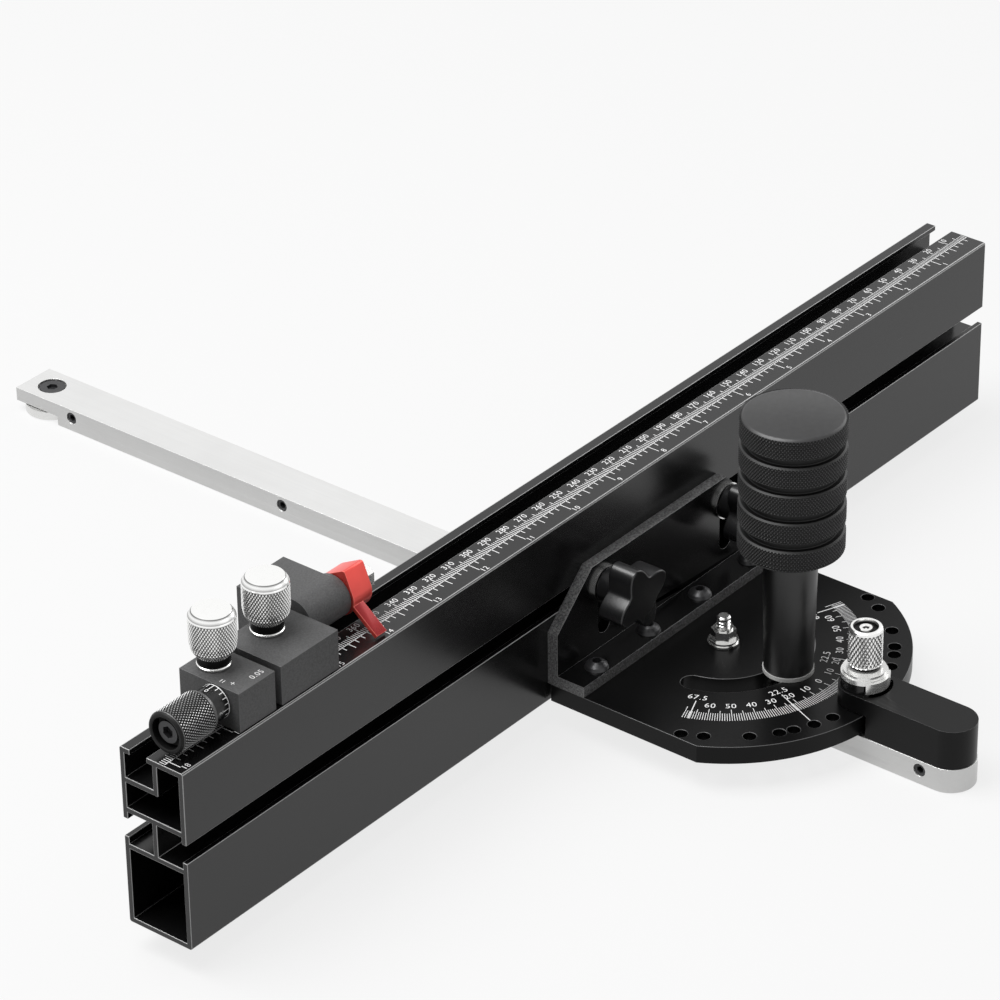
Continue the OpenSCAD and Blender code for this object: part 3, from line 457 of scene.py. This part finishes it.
# The knob's foot and the hollow in its top are painted dark as shade.
profile = [(0, 0, DARK), (r - 1.0, 0, DARK), (r - 1.0, 1.0, DARK), (r - 0.5, 1.02, 0), (r - 0.1, 1.4, 0), (r, 1.6, 0.50),
           (r, h - 1.4, 0.50), (r - 0.08, h - 1.2, 0), (r - 0.35, h - 0.3, 0), (r - 0.8, h, 0), (r - 1.6, h, 0),
           (r - 1.9, h - 1.3, DARK), (r - 3.6, h - 1.3, DARK), (r - 3.9, h - 0.5, 0), (1.3, h - 0.5, 0),
           (0.9, h - 1.1, DARK), (0, h - 1.2, DARK)]
knob = turned("index_knob_knurled", profile, (mid[0], mid[1], low[2]), across=26, pitch=2.6)
dress(knob, silver_knurl, "plunger", "silver_knurled", "plunger_knob")

# %% Turn the pivot bolt, with a thread above its nut
low, high, mid = limits("pivot_bolt")
r, length = (high[0] - low[0]) / 2, high[2] - low[2]
PITCH, DEPTH, THREAD = 1.25, 0.7, 6.0
profile = [(0, 0, 0), (r, 0, 0)]
for z in np.arange(length - THREAD, length - 0.6 - PITCH, PITCH):
    profile += [(r, z, 0), (r - DEPTH, z + 0.35 * PITCH, DARK), (r - DEPTH, z + 0.5 * PITCH, DARK), (r, z + 0.85 * PITCH, 0)]
profile += [(r, length - 0.6, 0), (r - 0.6, length, 0), (0, length, 0)]
bolt = turned("pivot_bolt_threaded", profile, (mid[0], mid[1], low[2]), sides=48)
dress(bolt, bright_steel, "bar", "bright_steel", "pivot_bolt")

# %% Turn the fine adjuster's knob
low, high, mid = limits("micro_knob")
r, length = (high[2] - low[2]) / 2, high[0] - low[0]
profile = [(0, 0, 0), (r - 1.5, 0, 0), (r - 0.6, 0.6, 0), (r - 0.1, 1.8, 0), (r, 2.0, 0.42), (r, length - 1.3, 0.42),
           (r - 0.1, length - 1.1, -0.3), (r - 0.5, length - 0.3, -0.8), (r - 0.9, length, -0.85), (r - 1.6, length, -0.9),
           (r - 2.0, length - 0.3, DARK), (r - 2.0, length - 3.6, DARK), (r - 3.2, length - 4.0, DARK),
           (0, length - 4.0, DARK)]
knob = turned("fine_knob_knurled", profile, (high[0], mid[1], mid[2]), across=44, pitch=1.7, axis="-x")
dress(knob, worn_knurl, "fine_screw", "black_knurled", "micro_knob")

# %% [markdown]
# ## Chamfered copies
# The flat-sided pieces need small real chamfers. A CAD node is loose triangles, so a copy is merged and its flat faces
# are joined first. Then a Bevel modifier cuts each sharp edge and puts the chamfer's own material on it.

# %% Copy, merge and chamfer
def chamfered(node, width, finish, edge, body, slot, angle=35, segments=2, cut=None):
    """A merged copy of a CAD node, with a bevel of that width in mm on edges sharper than angle degrees. cut may give
    a third finish and a function of face normals and centres in mm, as arrays, that says which faces take it."""
    mesh = nodes[node].data.copy()
    mesh.name = node + "_dressed"
    piece = bpy.data.objects.new(node + "_dressed", mesh)
    bpy.context.scene.collection.objects.link(piece)
    bpy.context.view_layer.objects.active = piece
    weld = piece.modifiers.new("weld", "WELD")
    weld.merge_threshold = 0.000002
    flat = piece.modifiers.new("flat", "DECIMATE")
    flat.decimate_type = "DISSOLVE"
    flat.angle_limit = np.radians(0.6)
    with bpy.context.temp_override(object=piece, active_object=piece, selected_objects=[piece]):
        bpy.ops.object.modifier_apply(modifier="weld")
        bpy.ops.object.modifier_apply(modifier="flat")
    finishes = [finish, edge]
    if cut:
        count = len(mesh.polygons)
        normals, centres = np.zeros(count * 3), np.zeros(count * 3)
        mesh.polygons.foreach_get("normal", normals)
        mesh.polygons.foreach_get("center", centres)
        chosen = cut[1](normals.reshape(-1, 3), centres.reshape(-1, 3) / MM)
        finishes.append(cut[0])
    bevel = piece.modifiers.new("chamfer", "BEVEL")
    bevel.width = width * MM
    bevel.segments = segments
    bevel.limit_method = "ANGLE"
    bevel.angle_limit = np.radians(angle)
    bevel.material = 1
    bevel.use_clamp_overlap = True
    bevel.harden_normals = True
    piece.data.shade_smooth()
    piece.data.set_sharp_from_angle(angle=np.radians(angle))
    dress(piece, finishes, body, slot, node)
    if cut:
        mesh.polygons.foreach_set("material_index", np.where(chosen, 2, 0).astype(np.int32))
    print(piece.name, len(piece.data.polygons), "faces before its chamfers")
    return piece


chamfered("fence_extrusion", 0.22, fence_black, edge_grey, "fence", "black_anodised")
chamfered("adjuster_block", 0.35, grained_black, edge_soft, "adjuster", "black_grained")
chamfered("stop_block", 0.35, grained_black, edge_soft, "stop", "black_grained")
low, high, mid = limits("fence_bracket")


def sawn_faces(normals, centres):
    """The bracket's top and cut corners, its two ends, and the front of its foot."""
    top = (normals[:, 2] > 0.5) & (centres[:, 2] > high[2] - 15)
    ends = np.abs(centres[:, 0] - mid[0]) > mid[0] - low[0] - 0.1
    front = centres[:, 1] < low[1] + 0.1
    return top | ends | front


chamfered("fence_bracket", 0.3, satin_black, edge_grey, "head", "black_anodised", cut=(cut_grey, sawn_faces))
chamfered("protractor_plate", 0.3, plate_black, edge_soft, "head", "black_grained")
chamfered("pointer_block", 0.5, pointer_black, edge_soft, "bar", "black_anodised")


def milled_faces(normals, centres):
    """The bar's upright faces, which were milled and are duller than the drawn top: rougher, and darker as painted
    shade.
    """
    return np.abs(normals[:, 2]) < 0.5


chamfered("miter_bar", 0.3, bare_aluminium, bare_aluminium, "bar", "bare_aluminium", cut=(milled_shaded_side, milled_faces))
chamfered("flip_arm", 0.5, grained_black, edge_soft, "arm", "black_grained")
hub = limits("arm_bolt")[2]


def paddle_faces(normals, centres):
    """The lever's faces beyond its hub on the paddle's side, which get the far darker red as painted shade."""
    return centres[:, 1] < hub[1] - 9.5


chamfered("clamp_lever", 0.45, lever_red, red_edge, "lever", "red_anodised", cut=(paddle_shaded_red, paddle_faces))
for side in ("left", "right"):
    chamfered("clamp_knob_" + side, 0.6, black_plastic, black_plastic, side + "_knob", "black_plastic", segments=3)

# %% [markdown]
# ## The rest of the nodes
# Their shapes are right as they are, so each only gets a finish.

# %% Finish the plain nodes
FINISHES = {
    "bright_steel": [bright_steel, "guide_disc pivot_bush pivot_washer pivot_nut plunger_pin "
                     "handle_stud clamp_bolts clamp_washers adjuster_tnut adjuster_thumb_screw stop_tnut "
                     "stop_thumb_screw arm_bolt arm_washer arm_nut"],
    "dark_steel": [dark_steel, "guide_screw side_set_screws block_screws bracket_screws micro_screw"],
    "satin_black": [satin_black, "plunger_sleeve micro_thimble"],
    "post_black": [post_black, "handle_post"],
    "satin_steel": [satin_steel, "plunger_collar"],
    "matt_steel": [matt_steel, "handle_washer"],
    "white_nylon": [white_nylon, "pivot_shim"],
}
for material, names in FINISHES.values():
    for name in names.split():
        nodes[name].data.materials.clear()
        nodes[name].data.materials.append(material)

# %% [markdown]
# ## Digits
# Numbers are set as text once per digit, turned into flat meshes, and then copied as arrays to where each number
# stands. That is far quicker than hundreds of text objects.

# %% Cut the digits
def glyph(sign):
    """The flat outline of one sign, one unit high: (points as an array, faces as lists)."""
    curve = bpy.data.curves.new("sign", "FONT")
    curve.body = sign
    curve.resolution_u = 3
    holder = bpy.data.objects.new("sign", curve)
    bpy.context.scene.collection.objects.link(holder)
    bpy.context.view_layer.update()
    mesh = bpy.data.meshes.new_from_object(holder.evaluated_get(bpy.context.evaluated_depsgraph_get()))
    points = np.zeros(len(mesh.vertices) * 3)
    mesh.vertices.foreach_get("co", points)
    faces = [list(p.vertices) for p in mesh.polygons]
    bpy.data.objects.remove(holder)
    bpy.data.curves.remove(curve)
    bpy.data.meshes.remove(mesh)
    return points.reshape(-1, 3)[:, :2], faces


SIGNS = {sign: glyph(sign) for sign in "0123456789."}
CAP = SIGNS["0"][0][:, 1].max()
ADVANCE = {sign: (0.40 if sign == "." else 0.78) for sign in SIGNS}


class Print:
    """Collects flat shapes in mm and makes them one mesh."""

    def __init__(self):
        self.points = []
        self.faces = []
        self.count = 0

    def add(self, points, faces):
        self.points.append(points)
        self.faces += [[i + self.count for i in face] for face in faces]
        self.count += len(points)

    def strokes(self, starts, ends, width):
        """One thin rectangle from each start to each end: the corners are the ends plus and minus half the width times
        the unit vector across, which lies in the plane z = constant."""
        along = ends - starts
        across = np.stack([-along[:, 1], along[:, 0], np.zeros(len(along))], axis=1)
        across *= width / 2 / np.linalg.norm(across, axis=1)[:, None]
        corners = np.stack([starts - across, ends - across, ends + across, starts + across], axis=1)
        order = np.arange(len(starts) * 4).reshape(-1, 4)
        self.add(corners.reshape(-1, 3), order.tolist())

    def number(self, words, size, place):
        """Sets words size mm high, centred, and puts each point where place sends it."""
        total = sum(ADVANCE[sign] for sign in words)
        pen = -total / 2
        for sign in words:
            points, faces = SIGNS[sign]
            middle = (points[:, 0].min() + points[:, 0].max()) / 2
            x = (points[:, 0] - middle) / CAP + pen + ADVANCE[sign] / 2
            y = points[:, 1] / CAP - 0.5
            self.add(place(np.stack([x * size, y * size], axis=1)), faces)
            pen += ADVANCE[sign]

    def finish(self, name, body):
        mesh = bpy.data.meshes.new(name)
        mesh.from_pydata((np.concatenate(self.points) * MM).tolist(), [], self.faces)
        piece = bpy.data.objects.new(name, mesh)
        bpy.context.scene.collection.objects.link(piece)
        print(name, len(mesh.vertices), "points")
        return dress(piece, white_print, body, "white_matte")


def flat_on(x, y, z, turn=0.0):
    """Puts flat shapes on the plane z, centred on (x, y) and turned about Z by turn radians."""
    c, s = np.cos(turn), np.sin(turn)

    def place(points):
        return np.stack([x + c * points[:, 0] - s * points[:, 1], y + s * points[:, 0] + c * points[:, 1],
                         np.full(len(points), z)], axis=1)
    return place

# %% [markdown]
# ## The rule on the fence
# One base line, millimetres towards the slot with a number every ten, and inches in eighths towards the near edge.

# %% Print the rule
low, high, mid = limits("fence_extrusion")
TOP = high[2] + 0.03
NEAR = low[1]
BASE = NEAR + 8.3
zero = high[0]
rule = Print()


def ticks(sheet, distances, y0, lengths, width):
    """Strokes across the rule at these distances from the right end, from y0 by these signed lengths."""
    x = zero - distances
    starts = np.stack([x, np.full(len(x), y0), np.full(len(x), TOP)], axis=1)
    ends = starts + np.stack([0 * x, lengths, 0 * x], axis=1)
    sheet.strokes(starts, ends, width)


mm_marks = np.arange(1, 460)
mm_long = np.where(mm_marks % 10 == 0, 4.4, np.where(mm_marks % 5 == 0, 3.7, 2.5))
ticks(rule, mm_marks.astype(float), BASE, mm_long, 0.30)
eighths = np.arange(1, 145)
inch_long = np.where(eighths % 8 == 0, -5.0, np.where(eighths % 4 == 0, -3.5, -2.2))
ticks(rule, eighths * 25.4 / 8, BASE, inch_long, 0.34)
rule.strokes(np.array([[zero - 459.2, BASE, TOP]]), np.array([[zero - 0.6, BASE, TOP]]), 0.34)
for value in range(10, 460, 10):
    rule.number(str(value), 2.4, flat_on(zero - value + 0.6, NEAR + 13.6, TOP))
for value in range(1, 19):
    rule.number(str(value), 2.2, flat_on(zero - value * 25.4 + 1.6, NEAR + 2.4, TOP))
rule.finish("printed_rule", "fence")

# %% [markdown]
# ## The degree scale
# Ticks for each degree lie on an arc round the pivot, with a number every ten and long lines for the half angles.

# %% Print the degree scale
low, high, mid = limits("protractor_plate")
TOP = high[2] + 0.03
scale = Print()


def polar(r, degrees):
    """Points on the plate at radius r and at an angle counted from straight behind the pivot, towards the right."""
    a = np.radians(degrees)
    return np.stack([r * np.sin(a), -r * np.cos(a), TOP + 0 * a], axis=-1)


degrees = np.arange(-70, 71)
inner = np.where(degrees % 10 == 0, 44.0, np.where(degrees % 5 == 0, 44.8, 46.4))
scale.strokes(polar(inner, degrees.astype(float)), polar(np.full(len(degrees), 51.0), degrees.astype(float)), 0.22)
halves = np.array([-67.5, -22.5, 22.5, 67.5])
scale.strokes(polar(np.full(4, 39.6), halves), polar(np.array([51.0, 58.4, 58.4, 51.0]), halves), 0.36)
for value in range(-60, 61, 10):
    x, y, z = polar(41.6, np.float64(value))
    scale.number(str(abs(value)), 2.7, flat_on(x, y, TOP, np.radians(value)))
for value in halves:
    x, y, z = polar(37.2, np.float64(value))
    scale.number(str(abs(value)), 2.7, flat_on(x, y, TOP, np.radians(value)))
scale.finish("printed_degrees", "head")

# %% [markdown]
# ## The fine adjuster's marks
# The collar beside the knob has a white ring at its inner end and twenty ticks, one for each 0.05 mm that the screw
# moves in a turn of 1 mm. Its shapes are bent round the collar: a distance across becomes an angle. The index lines and
# the plain number 0.05 are flat, on top of the adjuster's block.

# %% Print the graduations
low, high, mid = limits("micro_thimble")
COLLAR_R = (high[2] - low[2]) / 2 + 0.03
DIVISIONS = 20


def round_collar(x, turn):
    """Puts flat shapes on the collar: u runs round it, v along it, and turn is the angle from the top in radians."""
    def place(points):
        a = turn + points[:, 0] / COLLAR_R
        return np.stack([x - points[:, 1], mid[1] - COLLAR_R * np.sin(a), mid[2] + COLLAR_R * np.cos(a)], axis=1)
    return place


def bar_shape(width, length, steps=1):
    """A rectangle width wide and length long from its foot, in steps across so that it can bend: points and faces."""
    u = np.linspace(-width / 2, width / 2, steps + 1)
    points = np.concatenate([np.stack([u, 0 * u], axis=1), np.stack([u, 0 * u + length], axis=1)])
    faces = [[i, i + 1, i + steps + 2, i + steps + 1] for i in range(steps)]
    return points, faces


collar = Print()
points, faces = bar_shape(TURN * COLLAR_R, 0.35, steps=72)
collar.add(round_collar(high[0] - 0.25, 0.0)(points), faces)
for mark in range(DIVISIONS):
    length = 2.6 if mark % 5 == 0 else 1.7
    points, faces = bar_shape(0.28, length)
    collar.add(round_collar(high[0] - 0.6, TURN * mark / DIVISIONS)(points), faces)
for mark, words in ((0, "0"), (5, "5"), (10, "10"), (15, "15")):
    collar.number(words, 1.7, round_collar(high[0] - 4.3, TURN * mark / DIVISIONS))
collar.finish("printed_collar", "fine_screw")

low, high, mid = limits("adjuster_block")
TOP = high[2] + 0.03
index = Print()
marks = np.array([[[2.0, 8.9], [3.6, 8.9]], [[2.0, 10.0], [3.6, 10.0]], [[3.0, 5.9], [4.6, 5.9]], [[3.8, 5.1], [3.8, 6.7]]])
marks = np.concatenate([marks + [low[0], low[1]], np.full((4, 2, 1), TOP)], axis=2)
index.strokes(marks[:, 0], marks[:, 1], 0.3)
index.number("0.05", 2.2, flat_on(high[0] - 5.2, low[1] + 3.4, TOP))
index.finish("printed_index", "adjuster")

# %% [markdown]
# ## Floor, light and camera
# A pale floor and a white surround, large soft lamps, and the camera where the photograph was taken from. What the
# camera sees of the floor is lifted towards white, and the shadow stays.

# %% Floor
def seen_directly(wire):
    """1 for rays from the camera, off a glossy surface or through glass, and 0 for the rays that light the object."""
    path = wire.make("LightPath")
    camera_ray, glossy_ray, transmission_ray = (Wire(path.tree, path.socket.node.outputs[name]) for name in
                                                ("Is Camera Ray", "Is Glossy Ray", "Is Transmission Ray"))
    return (camera_ray + glossy_ray + transmission_ray).clamp()


def pale_floor():
    material, shader, coords = new_material("pale_floor")
    tree = material.node_tree
    feed(material, shader, "Base Color", (0.52, 0.52, 0.52, 1))
    feed(material, shader, "Roughness", 0.8)
    glow = coords.make("Emission", None, {"Color": (1, 1, 1, 1), "Strength": 1.0})
    lit = Wire(tree, shader.outputs[0])
    mixed = coords.make("MixShader", None, {0: seen_directly(coords) * 0.80, 1: lit, 2: glow})
    tree.links.new(mixed.socket, tree.nodes["Material Output"].inputs["Surface"])
    return material


plane = bpy.data.meshes.new("floor")
SIZE = 6.0
plane.from_pydata([(-SIZE, -SIZE, -0.0002), (SIZE, -SIZE, -0.0002), (SIZE, SIZE, -0.0002), (-SIZE, SIZE, -0.0002)], [],
                  [(0, 1, 2, 3)])
floor = bpy.data.objects.new("floor", plane)
bpy.context.scene.collection.objects.link(floor)
plane.materials.append(pale_floor())
floor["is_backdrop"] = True

# %% Lamps
def lamp(name, place, aim, width, height, power):
    """A soft rectangular lamp at place that faces aim: its own -Z axis points along the line between them."""
    data = bpy.data.lights.new(name, "AREA")
    data.shape = "RECTANGLE"
    data.size = width
    data.size_y = height
    data.energy = power
    thing = bpy.data.objects.new(name, data)
    bpy.context.scene.collection.objects.link(thing)
    back = np.array(place, float) - np.array(aim, float)
    back /= np.linalg.norm(back)
    side = np.cross((0, 0, 1), back)
    side /= np.linalg.norm(side)
    up = np.cross(back, side)
    turn = np.eye(4)
    turn[:3, 0], turn[:3, 1], turn[:3, 2], turn[:3, 3] = side, up, back, place
    thing.matrix_world = Matrix(turn.tolist())
    return thing


AIM = (-0.03, 0.03, 0.03)
lamp("key", (-0.5, 0.5, 1.6), AIM, 1.2, 1.2, 42)
lamp("front", (0.2, -1.6, 0.7), AIM, 1.6, 0.8, 2)
lamp("right", (1.6, -0.3, 0.9), AIM, 0.8, 1.4, 8)

world = bpy.data.worlds.new("surround")
bpy.context.scene.world = world
world.use_nodes = True
tree = world.node_tree
back = tree.nodes["Background"]
start = Wire(tree)
strength = 0.20 + 0.80 * seen_directly(start)
back.inputs["Color"].default_value = (1, 1, 1, 1)
tree.links.new(strength.socket, back.inputs["Strength"])

# %% Camera
RIGHT = (0.625881, -0.779830, -0.011745)
UP = (0.405732, 0.312700, 0.858837)
AHEAD = (0.666074, 0.542295, -0.512115)
PLACE = (-1.166835, -0.848028, 0.936895)
camera_data = bpy.data.cameras.new("camera")
camera_data.sensor_width = 36
camera_data.lens = 4782.87 / 1000 * 36
camera_data.clip_end = 100
camera = bpy.data.objects.new("camera", camera_data)
bpy.context.scene.collection.objects.link(camera)
turn = np.eye(4)
turn[:3, 0], turn[:3, 1], turn[:3, 2], turn[:3, 3] = RIGHT, UP, [-c for c in AHEAD], PLACE
camera.matrix_world = Matrix(turn.tolist())
bpy.context.scene.camera = camera
bpy.context.scene.view_settings.view_transform = "Standard"

# %% [markdown]
# ## Sizes
# The box that the dressed pieces fill, without the floor, is measured. The dressed part
# must fill the same box as the CAD part.

# %% Measure the sizes
low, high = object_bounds()
